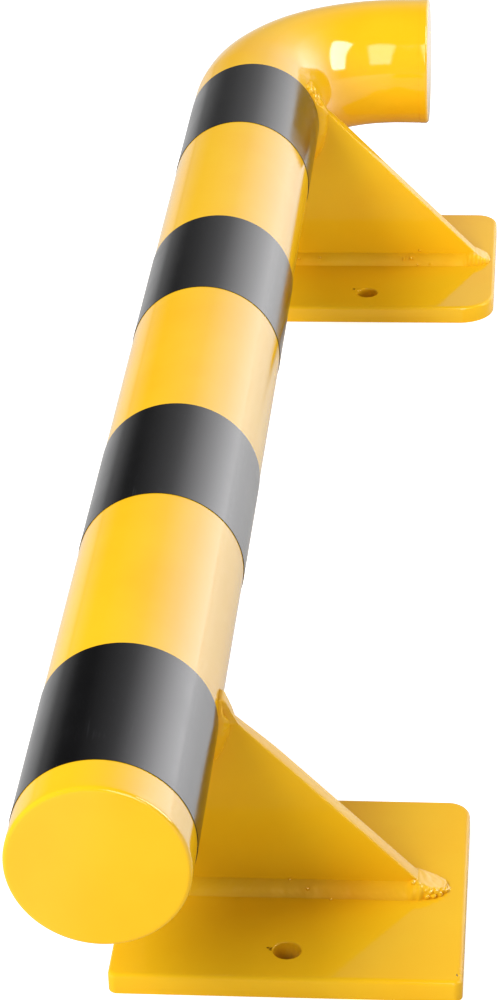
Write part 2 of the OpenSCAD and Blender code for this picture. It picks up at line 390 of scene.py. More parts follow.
def end_disc(name, centre, outwards, edge_steps=8):
    """A disc lathed with a rounded outer edge. Its inner face is at centre."""
    profile = [(0.0, 0.0), (TUBE_R, 0.0)]
    for i in range(edge_steps + 1):
        turn = math.pi / 2 * i / edge_steps
        profile.append((TUBE_R - DISC_EDGE_R + DISC_EDGE_R * math.cos(turn),
                        DISC_T - DISC_EDGE_R + DISC_EDGE_R * math.sin(turn)))
    profile += [(TUBE_R - DISC_EDGE_R - DISC_RIM, DISC_T), (0.0, DISC_T)]
    across = outwards.orthogonal().normalized()
    bm = bmesh.new()
    rim = [bm.verts.new(centre + across * r + outwards * h) for r, h in profile]
    edges = [bm.edges.new(pair) for pair in zip(rim, rim[1:])]
    bmesh.ops.spin(bm, geom=rim + edges, cent=centre, axis=outwards, angle=2 * math.pi, steps=144,
                   use_merge=True)
    for face in bm.faces:
        face.smooth = True
    mesh = plain_mesh(name, bm)
    finish_piece(new_object(name, mesh), YELLOW, name)


def rounded(points, radii, steps=8):
    """A closed outline with its corners rounded."""
    made = []
    for i, (point, radius) in enumerate(zip(points, radii)):
        here = Vector(point)
        if radius == 0:
            made.append(tuple(here))
            continue
        back = (Vector(points[i - 1]) - here).normalized()
        ahead = (Vector(points[(i + 1) % len(points)]) - here).normalized()
        half = math.acos(max(-1.0, min(1.0, back.dot(ahead)))) / 2
        reach = radius / math.tan(half)
        middle = here + (back + ahead).normalized() * (radius / math.sin(half))
        first = here + back * reach - middle
        last = here + ahead * reach - middle
        sweep = first.angle_signed(last)
        for k in range(steps + 1):
            turn = -sweep * k / steps
            cos, sin = math.cos(turn), math.sin(turn)
            made.append((middle.x + first.x * cos - first.y * sin, middle.y + first.x * sin + first.y * cos))
    return made


def inset(loop, by):
    """A loop moved to its left by a distance, which is inwards for an outline drawn anticlockwise."""
    made = []
    for i, point in enumerate(loop):
        here = Vector(point)
        back = (here - Vector(loop[i - 1])).normalized()
        ahead = (Vector(loop[(i + 1) % len(loop)]) - here).normalized()
        left_back, left_ahead = Vector((-back.y, back.x)), Vector((-ahead.y, ahead.x))
        made.append(here + (left_back + left_ahead) * by / (1 + left_back.dot(left_ahead)))
    return made


def rounded_prism(name, loops, thickness, place, steps=4):
    """A plate from an outline and its holes, which are drawn the other way round. Each loop comes with the
    radii of its lower and its upper edge. A narrow rim takes the turn of the shading at each edge, so the
    large faces stay flat."""
    bm = bmesh.new()
    caps = ([], [])
    for loop, (low_r, high_r) in loops:
        turns = [math.pi / 2 * i / steps for i in range(steps + 1)]
        levels = [(low_r * (1 - math.sin(turn)), low_r * (1 - math.cos(turn))) for turn in turns]
        levels += [(high_r * (1 - math.sin(turn)), thickness - high_r * (1 - math.cos(turn)))
                   for turn in reversed(turns)]
        levels = [(low_r + CAP_RIM, 0)] + levels + [(high_r + CAP_RIM, thickness)]
        rings = [[bm.verts.new(place @ Vector((*point, height))) for point in inset(loop, inwards)]
                 for inwards, height in levels]
        for low, high in zip(rings, rings[1:]):
            for i in range(len(loop)):
                bm.faces.new((low[i - 1], low[i], high[i], high[i - 1])).smooth = True
        for cap, ring in zip(caps, (rings[0], rings[-1])):
            cap += [bm.edges.get((ring[i - 1], ring[i])) for i in range(len(loop))]
    for cap in caps:
        bmesh.ops.triangle_fill(bm, use_beauty=True, edges=cap)
    return plain_mesh(name, bm)


def circle(x, y, radius, steps=64):
    """A ring of points, drawn anticlockwise."""
    return [(x + radius * math.cos(2 * math.pi * i / steps), y + radius * math.sin(2 * math.pi * i / steps))
            for i in range(steps)]


def base_plate(side):
    """A flat plate with round corners and two anchor holes. The coat draws thin on its cut right edge."""
    name = f"{side}_base_plate"
    low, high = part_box(name)
    front_r, back_r = PLATE_CORNERS[side]
    outline = rounded([(low.x, low.y), (high.x, low.y), (high.x, high.y), (low.x, high.y)],
                      [front_r, front_r, back_r, back_r], steps=14)
    mount = next(m for m in frame["record"]["mounts"] if m["name"] == f"{side}_anchor_holes")
    x, y = mount["pos_m"][:2]
    half = mount["dims"]["spacing_y_mm"] * MM / 2
    holes = [circle(x, y + shift, mount["dims"]["hole_r_mm"] * MM)[::-1] for shift in (-half, half)]
    mesh = rounded_prism(name, [(outline, PLATE_EDGES)] + [(hole, HOLE_EDGES) for hole in holes],
                         high.z - low.z, Matrix.Translation((0, 0, low.z)))
    made = finish_piece(new_object(name, mesh), PLATE_YELLOW, name)
    repaint(made, EDGE_YELLOW, lambda face: face.normal.x > 0.15)


def web(side):
    """A gusset's box, where its slope meets the tube, and the slope's rise for each metre across."""
    low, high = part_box(f"{side}_gusset")
    seat_x = AXIS_X + math.sqrt(SEAT_R ** 2 - (high.z - AXIS_Z) ** 2)
    return low, high, seat_x, (high.z - low.z - NOSE_H) / (high.x - seat_x)


def web_outline(side, steps=40):
    """The gusset's outline across and up: foot, blunt nose, slope, and the cope round the tube."""
    low, high, seat_x, rise = web(side)
    first = math.atan2(high.z - AXIS_Z, seat_x - AXIS_X)
    last = -math.acos((low.x - AXIS_X) / SEAT_R)
    cope = [(AXIS_X + SEAT_R * math.cos(first + (last - first) * i / steps),
             AXIS_Z + SEAT_R * math.sin(first + (last - first) * i / steps)) for i in range(steps + 1)]
    corners = [(low.x, low.z), (high.x, low.z), (high.x, low.z + NOSE_H)]
    slope = [(high.x + (seat_x - high.x) * i / steps,
              low.z + NOSE_H + (high.x - seat_x) * i / steps * rise) for i in range(1, steps)]
    return rounded(corners + slope + cope, [0, 0, NOSE_R] + [0] * (len(slope) + len(cope)), steps=5)


def upright(side, from_side=0.0):
    """Places a drawing made across and up, with its thickness along the tube, on a gusset's own place."""
    back_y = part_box(f"{side}_gusset")[1].y - from_side
    return Matrix(((1, 0, 0, 0), (0, 0, -1, back_y), (0, 1, 0, 0), (0, 0, 0, 1)))


def gusset(side):
    """The upright web under the tube, with its slope's back edge ground down at the top."""
    name = f"{side}_gusset"
    low, high, seat_x, rise = web(side)
    mesh = rounded_prism(name, [(web_outline(side), (WEB_EDGE_R, WEB_EDGE_R))], high.y - low.y, upright(side))
    depth, reach = GROUND_DOWN[side]
    edge_depth, tolerance = 2 * MM, 0.01 * MM
    for vert in mesh.vertices:
        under_slope = low.z + NOSE_H + (high.x - vert.co.x) * rise - vert.co.z
        if under_slope < edge_depth and vert.co.x > seat_x - tolerance:
            share = smooth_step((seat_x + reach - vert.co.x) / reach)
            backwards = smooth_step((vert.co.y - low.y) / (high.y - low.y))
            vert.co.z -= depth * share * backwards
    made = finish_piece(new_object(name, mesh), WEB_YELLOW, name)
    repaint(made, EDGE_YELLOW, lambda face: face.normal.x > 0.5 and face.normal.z > 0.5)


# What a weld run's mesh carries for each point: how far along the run it is, how near its toes, and how much
# of the ripples shows there
WELD_DATA = ("along", "across", "skin")


def bead_tree():
    """A tree that gives a weld run its look: curved ripples, one for each step of the torch, and uneven
    lumps."""
    tree, given = new_tree("weld_ripples", (
        ("Ripple Spacing", "NodeSocketFloat", 0.0025), ("Ripple Depth", "NodeSocketFloat", 0.0003),
        ("Ripple Bow", "NodeSocketFloat", 1.2), ("Lump Size", "NodeSocketFloat", 0.006),
        ("Lump Depth", "NodeSocketFloat", 0.0005), ("Seed", "NodeSocketFloat", 1.0)))
    along, across, skin = (add(tree, "GeometryNodeInputNamedAttribute", {"Name": label}, data_type="FLOAT")
                           for label in WELD_DATA)
    place = add(tree, "GeometryNodeInputPosition")
    # Which ripple a point is on, bowed towards the toes and straying a little
    steps = add(tree, "ShaderNodeMath", {0: along, 1: given["Ripple Spacing"]}, operation="DIVIDE")
    squared = add(tree, "ShaderNodeMath", {0: across, 1: 2.0}, operation="POWER")
    bow = add(tree, "ShaderNodeMath", {0: squared, 1: given["Ripple Bow"]}, operation="MULTIPLY")
    bowed = add(tree, "ShaderNodeMath", {0: steps, 1: bow}, operation="ADD")
    noises = add(tree, "ShaderNodeTexNoise", {"Vector": place, "Scale": 90.0, "Detail": 1.0,
                                              "W": given["Seed"]}, noise_dimensions="4D")
    stray = add(tree, "ShaderNodeMath", {0: noises, 1: 2.2}, operation="MULTIPLY")
    phase = add(tree, "ShaderNodeMath", {0: bowed, 1: stray}, operation="ADD")
    # The ripples' height
    turn = add(tree, "ShaderNodeMath", {0: phase, 1: math.pi}, operation="MULTIPLY")
    wave = add(tree, "ShaderNodeMath", {0: turn}, operation="SINE")
    crest = add(tree, "ShaderNodeMath", {0: wave}, operation="ABSOLUTE")
    level = add(tree, "ShaderNodeMath", {0: crest, 1: 0.64}, operation="SUBTRACT")
    ripple = add(tree, "ShaderNodeMath", {0: level, 1: given["Ripple Depth"]}, operation="MULTIPLY")
    # The lumps' height
    lump_scale = add(tree, "ShaderNodeMath", {0: 1.0, 1: given["Lump Size"]}, operation="DIVIDE")
    lumps = add(tree, "ShaderNodeTexNoise", {"Vector": place, "Scale": lump_scale, "Detail": 2.0,
                                             "W": given["Seed"]}, noise_dimensions="4D")
    lump_level = add(tree, "ShaderNodeMath", {0: lumps, 1: 0.55}, operation="SUBTRACT")
    lump_depth = add(tree, "ShaderNodeMath", {0: given["Lump Depth"], 1: 2.0}, operation="MULTIPLY")
    lump = add(tree, "ShaderNodeMath", {0: lump_level, 1: lump_depth}, operation="MULTIPLY")
    both = add(tree, "ShaderNodeMath", {0: ripple, 1: lump}, operation="ADD")
    amount = add(tree, "ShaderNodeMath", {0: both, 1: skin}, operation="MULTIPLY")
    return end_tree(tree, given["Geometry"], amount)


BEAD_TREE = bead_tree()


def weld_piece(name, side, sections, seed, **sizes):
    """A closed run from its cross sections, rippled, and with the gusset that stands in it cut out. Each
    section holds the outer skin's points, and two points under them, all with their weld data."""
    bm = bmesh.new()
    layers = [bm.verts.layers.float.new(label) for label in WELD_DATA]
    rings = []
    for section in sections:
        ring = []
        for point, *values in section:
            vert = bm.verts.new(point)
            for layer, value in zip(layers, values):
                vert[layer] = value
            ring.append(vert)
        rings.append(ring)
    for low, high in zip(rings, rings[1:]):
        for i in range(len(low)):
            bm.faces.new((low[i - 1], low[i], high[i], high[i - 1])).smooth = True
    for ring in (rings[0], rings[-1]):
        bm.faces.new(ring)
    bmesh.ops.triangulate(bm, faces=[f for f in bm.faces if len(f.verts) > 4])
    bmesh.ops.recalc_face_normals(bm, faces=bm.faces)
    mesh = bpy.data.meshes.new(name)
    bm.to_mesh(mesh)
    bm.free()
    made = grow(new_object(name, mesh), BEAD_TREE, Seed=seed + SEEDS[side], **sizes)
    # The cutter is the gusset without its outermost skin, so the run reaches a little into it
    low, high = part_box(f"{side}_gusset")
    inner = (inset(web_outline(side), ROOT), (0.1 * MM, 0.1 * MM))
    cutter = new_object("cutter", rounded_prism("cutter", [inner], high.y - low.y - 2 * ROOT,
                                                upright(side, ROOT), steps=1))
    cut = made.modifiers.new("web", "BOOLEAN")
    cut.object = cutter
    cut.solver = "EXACT"
    settle(made)
    bpy.data.objects.remove(cutter)
    made.data = cleaned(made.data, name, sharp_over=60, all_smooth=False)
    return finish_piece(made, WELD_YELLOW, name)


# How the foot weld runs out past the toe, in millimetres: distance from the tip, the front and back edges
# of its flat top, its own front and back edges, and its height
TOE_PADS = {
    "near": ((24, 4, 4, 10, 10, 6.77), (15.4, 4, 4, 10, 9, 6.9), (14, 4.6, 4.1, 9.6, 8, 6.7),
             (11.5, 6, 4.3, 8.5, 6.8, 5.8), (9.2, 5.6, 4.4, 7.8, 6.6, 4.8), (6.9, 4.6, 4.3, 6.6, 6.2, 3.9),
             (4.5, 3.3, 3.8, 5.2, 5.2, 2.9), (2.9, 2.9, 3.2, 4.2, 4.4, 2.3), (2.3, 2.2, 2.6, 3.4, 3.6, 1.7),
             (1.7, 1.2, 1.5, 2.4, 2.6, 0.7), (0.9, 0, 0, 1.2, 1.2, 0.15), (0, 0, 0, 0.4, 0.4, 0.05)),
    "far": ((20, 4, 4, 10, 10, 6.77), (12, 4, 4, 9.6, 9, 6.9), (9, 4.1, 4.1, 9, 7.4, 6.2),
            (5, 4.8, 4.4, 7.4, 6.4, 4.2), (2.5, 4, 4, 6, 5.6, 2.8), (1, 2.4, 2.4, 4, 4, 1.6),
            (0, 0, 0, 0.5, 0.5, 0.2))}
PAD_L = 15 * MM


def weld_sizes(side, leg):
    """The middle of a gusset's thickness, half that thickness, half its run's width, and the run's radius."""
    low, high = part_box(f"{side}_gusset")
    half_web = (high.y - low.y) / 2
    return (low.y + high.y) / 2, half_web, half_web + leg, math.hypot(half_web + leg, half_web)


def toe_pad(side, to_tip):
    """The pad's sizes in metres at a distance before the tip."""
    rows = TOE_PADS[side]
    for ahead, behind in zip(rows, rows[1:]):
        if to_tip >= behind[0] * MM:
            share = min((to_tip / MM - behind[0]) / (ahead[0] - behind[0]), 1)
            return [(b + (a - b) * share) * MM for a, b in zip(ahead[1:], behind[1:])]


def foot_weld(side, run_steps=180, pad_steps=96, points=37):
    """The run round a gusset's foot: an even fillet, which ends past the toe in a flat pad with a lumpy
    front."""
    name = f"{side}_foot_weld"
    low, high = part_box(name)
    plate_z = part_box(f"{side}_gusset")[0].z
    middle_y, half_web, half_w, arc_r = weld_sizes(side, FOOT_LEG)
    pad_start, pad_whole = TOE_PADS[side][0][0] * MM, TOE_PADS[side][1][0] * MM
    pad_rise = 5 * MM
    first_lump, lump_gap = TOE_LUMPS[side]
    stations = [low.x + (high.x - pad_start - low.x) * i / run_steps for i in range(run_steps)]
    stations += [high.x - pad_start * (1 - i / pad_steps) for i in range(pad_steps + 1)]
    sections = []
    for x in stations:
        to_tip = max(high.x - x, 0.0)
        front, back, out_front, out_back, top = toe_pad(side, to_tip)
        padded = smooth_step((pad_whole + pad_rise - to_tip) / pad_rise)
        wave = math.cos(2 * math.pi * (to_tip - first_lump) / lump_gap)
        lump = wave * padded * smooth_step(to_tip / (4 * MM))
        section = []
        for k in range(points):
            share = -math.cos(math.pi * k / (points - 1))
            flat, out = (front, out_front) if share < 0 else (back, out_back)
            wander = noise.noise(Vector((x * 160, share * 0.4, 7 * SEEDS[side])))
            out *= 1 + 0.05 * wander * smooth_step(to_tip / half_w)
            if share < 0:
                out = min(out + LUMP_H * lump, half_w)
                flat += LUMP_H * lump
            y = share * out
            fillet = math.sqrt(max(arc_r ** 2 - (share * half_w) ** 2, 0)) - half_web
            edge = min(max((abs(y) - flat) / max(out - flat, 0.1 * MM), 0), 1)
            pad = top * math.sqrt(1 - edge ** 2)
            height = fillet + (pad - fillet) * padded if 0 < k < points - 1 else -ROOT
            section.append(((x, middle_y + y, plate_z + height), math.copysign(x, share), abs(share),
                            smooth_step((1 - abs(share)) / 0.12) * smooth_step(to_tip / (2 * MM))))
        section += [((x, middle_y + y, plate_z - 2 * ROOT), 0.0, 1.0, 0.0) for y in (out_back, -out_front)]
        sections.append(section)
    made = weld_piece(name, side, sections, seed=3.0, **{
        "Ripple Spacing": 4.2 * MM, "Ripple Depth": 0.09 * MM, "Lump Size": 9 * MM, "Lump Depth": 0.3 * MM,
        "Ripple Bow": 2.0})
    repaint(made, PAD_YELLOW, lambda face: face.center.x > high.x - PAD_L and face.normal.z > 0.8)


def tube_weld(side, steps=120, points=29):
    """The run that joins a gusset to the tube, round the cope and over the top of the slope. It ends in the
    crown, a ridge that carries the slope on up to the tube, with a low bead on each side."""
    name = f"{side}_tube_weld"
    web_lo, web_hi, seat_x, rise = web(side)
    middle_y, half_web, half_w, arc_r = weld_sizes(side, TUBE_LEG)
    crown = math.asin((web_hi.z - AXIS_Z) / SEAT_R) + CROWN_RUN[side] / SEAT_R
    foot = -math.acos((web_lo.x - AXIS_X) / SEAT_R)
    ridge_front, ridge_back, before, behind = CROWN_RIDGE[side]
    crown_end = Vector((math.cos(crown), math.sin(crown))) * (SEAT_R + CROWN_H[side])
    slope_x = seat_x + CROWN_START * math.cos(math.atan(rise))
    slope_end = Vector((slope_x - AXIS_X, web_lo.z + NOSE_H + (web_hi.x - slope_x) * rise - AXIS_Z))
    cap_line = crown_end - slope_end
    low_angle = math.atan2(slope_end.y, slope_end.x)

    def cap_height(ray):
        """How high over the tube the straight line from the slope to the crown's end is."""
        return (slope_end.x * cap_line.y - slope_end.y * cap_line.x) / (
            ray.x * cap_line.y - ray.y * cap_line.x) - SEAT_R

    sections = []
    for i in range(steps + 1):
        angle = foot + (crown - foot) * i / steps
        run = (angle - foot) * SEAT_R
        left = (crown - angle) * SEAT_R
        # The run's round end, over its last 2.5 mm
        ending = math.sqrt(max(1 - (1 - min(left / (2.5 * MM), 1)) ** 2, 0.02))
        ray = Vector((math.cos(angle), math.sin(angle)))
        over = max((angle - low_angle) / (crown - low_angle), 0)
        risen = smooth_step(2 * over)
        # The front and the back grow 40% narrower towards the crown, the front later than the back
        narrow = 1 - 0.4 * smooth_step(2.5 * over - 1.2), 1 - 0.4 * smooth_step(2.5 * over)
        section = []
        for k in range(points):
            share = -math.cos(math.pi * k / (points - 1))
            wander = 1 + 0.06 * noise.noise(Vector((run * 170, share * 0.4, 11 * SEEDS[side])))
            y = share * half_w * wander * (0.75 + 0.25 * ending) * narrow[share > 0]
            height = math.sqrt(max(arc_r ** 2 - (share * half_w) ** 2, 0)) - half_web
            if over > 0:
                ground = GROUND_DOWN[side][0] * (1 - over) * smooth_step((y + half_web) / (2 * half_web))
                cap = max(cap_height(ray) - ground, 0.2 * MM)
                bead = min(height, BEAD_H + ((before if share < 0 else behind) - BEAD_H) * risen)
                # The beads sink beside the ridge
                bead *= 1 - 0.8 * risen * smooth_step((5.5 * MM - abs(y)) / (2 * MM))
                ridge = cap * smooth_step(4 * (1 - abs(y) / (ridge_front if share < 0 else ridge_back)))
                height = min(max(bead, ridge), cap)
            out = SEAT_R + height * ending if 0 < k < points - 1 else SEAT_R - ROOT
            section.append(((AXIS_X + ray.x * out, middle_y + y, AXIS_Z + ray.y * out),
                            math.copysign(run, share), abs(share),
                            smooth_step((1 - abs(share)) / 0.18) * ending))
        deep = SEAT_R - 2 * ROOT
        for share in (1, -1):
            y = share * half_w * 0.9 * narrow[share > 0]
            section.append(((AXIS_X + ray.x * deep, middle_y + y, AXIS_Z + ray.y * deep), 0.0, 1.0, 0.0))
        sections.append(section)
    made = weld_piece(name, side, sections, seed=9.0, **{
        "Ripple Spacing": 3.4 * MM, "Ripple Depth": 0.15 * MM, "Lump Depth": 0.5 * MM})
    repaint(made, EDGE_YELLOW, lambda face: face.center.z > AXIS_Z - 8 * MM and face.normal.x > 0.6)


# Spatter and blobs beside the welds: their places and radii, in millimetres
SPATTER = {
    "near": ((21.5, -337.9, 13.7, 0.8), (31.8, -340.3, 10.2, 0.8), (13.6, -334.3, 16.1, 0.7),
             (67.4, -335.6, 16.6, 1.3), (68.4, -337.0, 14.4, 1.2), (69.6, -335.4, 15.6, 1.5),
             (70.6, -337.4, 12.8, 1.3), (72.2, -336.4, 13.4, 1.5), (73.4, -338.3, 11.2, 1.2),
             (74.4, -336.4, 12.6, 1.7), (76.0, -337.4, 11.0, 1.4), (77.2, -335.6, 12.0, 1.7),
             (78.8, -335.6, 11.0, 1.3), (79.8, -333.8, 11.4, 1.4), (81.2, -332.8, 11.0, 1.2),
             (88.9, -391.6, 9.3, 1.1), (89.1, -394.4, 8.7, 1.0), (88.8, -393.2, 9.5, 0.8)),
    "far": ((-28.1, 312.0, 13.6, 0.9), (-15.3, 312.5, 14.1, 0.8), (35.6, 312.2, 13.8, 1.0),
            (39.9, 312.2, 13.9, 1.0), (45.1, 315.7, 17.8, 0.8), (43.6, 310.2, 10.8, 0.7),
            (51.4, 310.5, 11.3, 0.8), (-20.8, 317, 122.8, 1.8), (-19.2, 315, 121.2, 2.2),
            (-17.4, 318, 120.6, 2.4), (-16.2, 315.4, 117.4, 2.2), (-14.9, 318, 115.8, 2.0))}


def spatter_tree():
    """A tree that sets a slightly uneven ball of metal on each given point, at its own size."""
    tree, given = new_tree("spatter", (
        ("Unevenness", "NodeSocketFloat", 0.25), ("Seed", "NodeSocketInt", 4),
        ("Material", "NodeSocketMaterial", None)))
    size = add(tree, "GeometryNodeInputNamedAttribute", {"Name": "size"}, data_type="FLOAT")
    ball = add(tree, "GeometryNodeMeshIcoSphere", {"Radius": 1.0, "Subdivisions": 4})
    turn, squash = (add(tree, "FunctionNodeRandomValue", {0: low, 1: high, "Seed": given["Seed"]},
                        data_type="FLOAT_VECTOR")
                    for low, high in (((0.0, 0.0, 0.0), (6.28, 6.28, 6.28)),
                                      ((0.85, 0.85, 0.7), (1.15, 1.1, 0.9))))
    scale = add(tree, "ShaderNodeVectorMath", {0: squash, "Scale": size}, operation="SCALE")
    points = add(tree, "GeometryNodeMeshToPoints", {"Mesh": given["Geometry"]})
    laid = add(tree, "GeometryNodeInstanceOnPoints", {"Points": points, "Instance": ball, "Rotation": turn,
                                                      "Scale": scale})
    real = add(tree, "GeometryNodeRealizeInstances", {"Geometry": laid})
    place = add(tree, "GeometryNodeInputPosition")
    rough = add(tree, "ShaderNodeTexNoise", {"Vector": place, "Scale": 1 / (1.6 * MM), "Detail": 1.0})
    depth = add(tree, "ShaderNodeMath", {0: rough, 1: 0.5}, operation="SUBTRACT")
    uneven = add(tree, "ShaderNodeMath", {0: depth, 1: given["Unevenness"]}, operation="MULTIPLY")
    return end_tree(tree, real, uneven, given["Material"])


SPATTER_TREE = spatter_tree()


def spatter(side):
    """The spatter and blobs by one gusset's welds, each half sunk in what it sits on."""
    name = f"{side}_weld_spatter"
    mesh = bpy.data.meshes.new(name)
    mesh.from_pydata([[value * MM for value in row[:3]] for row in SPATTER[side]], [], [])
    sizes = mesh.attributes.new("size", "FLOAT", "POINT")
    for item, row in zip(sizes.data, SPATTER[side]):
        item.value = row[3] * MM
    made = grow(new_object(name, mesh), SPATTER_TREE, Material=BLOB_YELLOW, Unevenness=0.5 * MM,
                Seed=SEEDS[side])
    made.data = cleaned(made.data, name, sharp_over=180)
    finish_piece(made, BLOB_YELLOW)


# Studio

def camera():
    """The photograph's own view: 119.5 mm lens, looking down along the tube."""
    pitch, yaw, roll = 0.5049, -0.1011, 0.0368
    ahead = Vector((math.sin(yaw) * math.cos(pitch), math.cos(yaw) * math.cos(pitch), -math.sin(pitch)))
    right = Vector((math.cos(yaw), -math.sin(yaw), 0))
    down = ahead.cross(right)
    across = math.cos(roll) * right + math.sin(roll) * down
    below = math.cos(roll) * down - math.sin(roll) * right
    data = bpy.data.cameras.new("camera")
    data.lens = 119.52
    data.sensor_width = 36
    made = new_object("camera", data)
    turned = Matrix((across, -below, -ahead)).transposed().to_4x4()
    made.matrix_world = Matrix.Translation((0.12207, -1.51542, 0.86092)) @ turned
    bpy.context.scene.camera = made


def direction(azimuth, elevation):
    """A direction from its azimuth, from +Y towards +X, and its elevation, in degrees."""
    a, e = math.radians(azimuth), math.radians(elevation)
    return Vector((math.sin(a) * math.cos(e), math.cos(a) * math.cos(e), math.sin(e)))


def mirrored_to_camera(tree, path):
    """1 where the camera sees a thing in a mirror, and 0 where the mirror only throws its light on."""
    straight = add(tree, "ShaderNodeMath", {0: path["Diffuse Depth"], 1: 0.5}, operation="LESS_THAN")
    return add(tree, "ShaderNodeMath", {0: path["Is Glossy Ray"], 1: straight}, operation="MULTIPLY")


# How bright glossy surfaces see the studio's wall, by azimuth in degrees from +Y towards +X
WALL_LIGHT = ((-180, 0.15), (-120, 0.2), (-80, 0.25), (-45, 0.03), (-25, 0.06), (-15, 0.22), (-5, 0.44),
              (3, 0.7), (11, 1.25), (18, 1.8), (24, 2.35), (28, 3.0), (33, 4.0), (45, 4.3), (58, 3.6),
              (75, 1.6), (95, 0.3), (180, 0.15))
# The brightness that stands for 1 in the wall's curve
WALL_TOP = 5.0
# The windows: brightness, then azimuth, elevation, half width, half height and soft edge in degrees
WINDOWS = ((15.0, 91, 33, 11, 20, 4), (5.5, 158, 35, 15, 18, 5))
# How bright matt surfaces see the studio, all round
PLAIN_LIGHT = 0.44


def surroundings():
    """White to the camera. Glossy surfaces see a dark studio with one wide bright wall behind on the right,
    which fades out behind the guard, a faint glow low on the left, and two windows in front. All the rest
    is lit plainly."""
    world = bpy.data.worlds.new("studio")
    bpy.context.scene.world = world
    world.use_nodes = True
    tree = world.node_tree
    tree.nodes.clear()
    ray = add(tree, "ShaderNodeTexCoord", output="Generated")

    def patch(azimuth, elevation, half_width, half_height, soft):
        """1 inside an oblong patch of the studio's wall and 0 outside it, with soft edges, in degrees."""
        centre = direction(azimuth, elevation)
        right = direction(azimuth + 90, 0)
        ahead, across, up = (add(tree, "ShaderNodeVectorMath", {0: ray, 1: axis}, operation="DOT_PRODUCT")
                             for axis in (centre, right, right.cross(centre)))
        masks = []
        for part, half in ((across, half_width), (up, half_height)):
            angle = add(tree, "ShaderNodeMath", {0: part, 1: ahead}, operation="ARCTAN2")
            off = add(tree, "ShaderNodeMath", {0: angle}, operation="ABSOLUTE")
            masks.append(add(tree, "ShaderNodeMapRange", {
                "Value": off, "From Min": math.radians(half + soft / 2),
                "From Max": math.radians(half - soft / 2)}, interpolation_type="SMOOTHSTEP"))
        return add(tree, "ShaderNodeMath", {0: masks[0], 1: masks[1]}, operation="MULTIPLY")

    # The wall's light round the studio, which fades out upwards
    axes = add(tree, "ShaderNodeSeparateXYZ", {"Vector": ray}).node.outputs
    turn = add(tree, "ShaderNodeMath", {0: axes["X"], 1: axes["Y"]}, operation="ARCTAN2")
    share = add(tree, "ShaderNodeMath", {0: turn, 1: 2 * math.pi}, operation="DIVIDE")
    round_share = add(tree, "ShaderNodeMath", {0: share, 1: 0.5}, operation="ADD")
    wall = add(tree, "ShaderNodeFloatCurve", {"Value": round_share})
    points = wall.node.mapping.curves[0].points
    for _ in WALL_LIGHT[1:-1]:
        points.new(0, 0)
    for point, (degrees, level) in zip(points, WALL_LIGHT):
        point.location = degrees / 360 + 0.5, level / WALL_TOP
        point.handle_type = "VECTOR"
    wall.node.mapping.update()
    wall_light = add(tree, "ShaderNodeMath", {0: wall, 1: WALL_TOP}, operation="MULTIPLY")
    high = add(tree, "ShaderNodeMapRange", {"Value": axes["Z"], "From Min": math.sin(math.radians(68)),
                                            "From Max": math.sin(math.radians(22))},
               interpolation_type="SMOOTHSTEP")
    seen = add(tree, "ShaderNodeMath", {0: wall_light, 1: high, 2: 0.01}, operation="MULTIPLY_ADD")
    # The glow low on the left
    low = add(tree, "ShaderNodeMapRange", {"Value": axes["Z"], "From Min": 0.2, "From Max": -0.04,
                                           "To Max": 0.32})
    leftwards = add(tree, "ShaderNodeMapRange", {"Value": axes["X"], "From Min": 0.05, "From Max": -0.15})
    seen = add(tree, "ShaderNodeMath", {0: low, 1: leftwards, 2: seen}, operation="MULTIPLY_ADD")
    # The windows, which don't show in the mirror image of a mirror
    path = add(tree, "ShaderNodeLightPath").node.outputs
    at_once = add(tree, "ShaderNodeMath", {0: path["Glossy Depth"], 1: 1.5}, operation="LESS_THAN")
    for level, *place in WINDOWS:
        window = add(tree, "ShaderNodeMath", {0: patch(*place), 1: at_once}, operation="MULTIPLY")
        seen = add(tree, "ShaderNodeMath", {0: window, 1: level, 2: seen}, operation="MULTIPLY_ADD")
    plain = add(tree, "ShaderNodeMath", {0: path["Is Camera Ray"], 1: path["Is Transmission Ray"]},
                operation="MAXIMUM")
    strength = PLAIN_LIGHT
    for factor, other in ((mirrored_to_camera(tree, path), seen), (plain, 1.0)):
        strength = add(tree, "ShaderNodeMix", {"Factor": factor, "A": strength, "B": other},
                       data_type="FLOAT")
    light = add(tree, "ShaderNodeBackground", {"Color": (1, 1, 1, 1), "Strength": strength})
    add(tree, "ShaderNodeOutputWorld", {"Surface": light})
    world.cycles.sampling_method = "NONE"


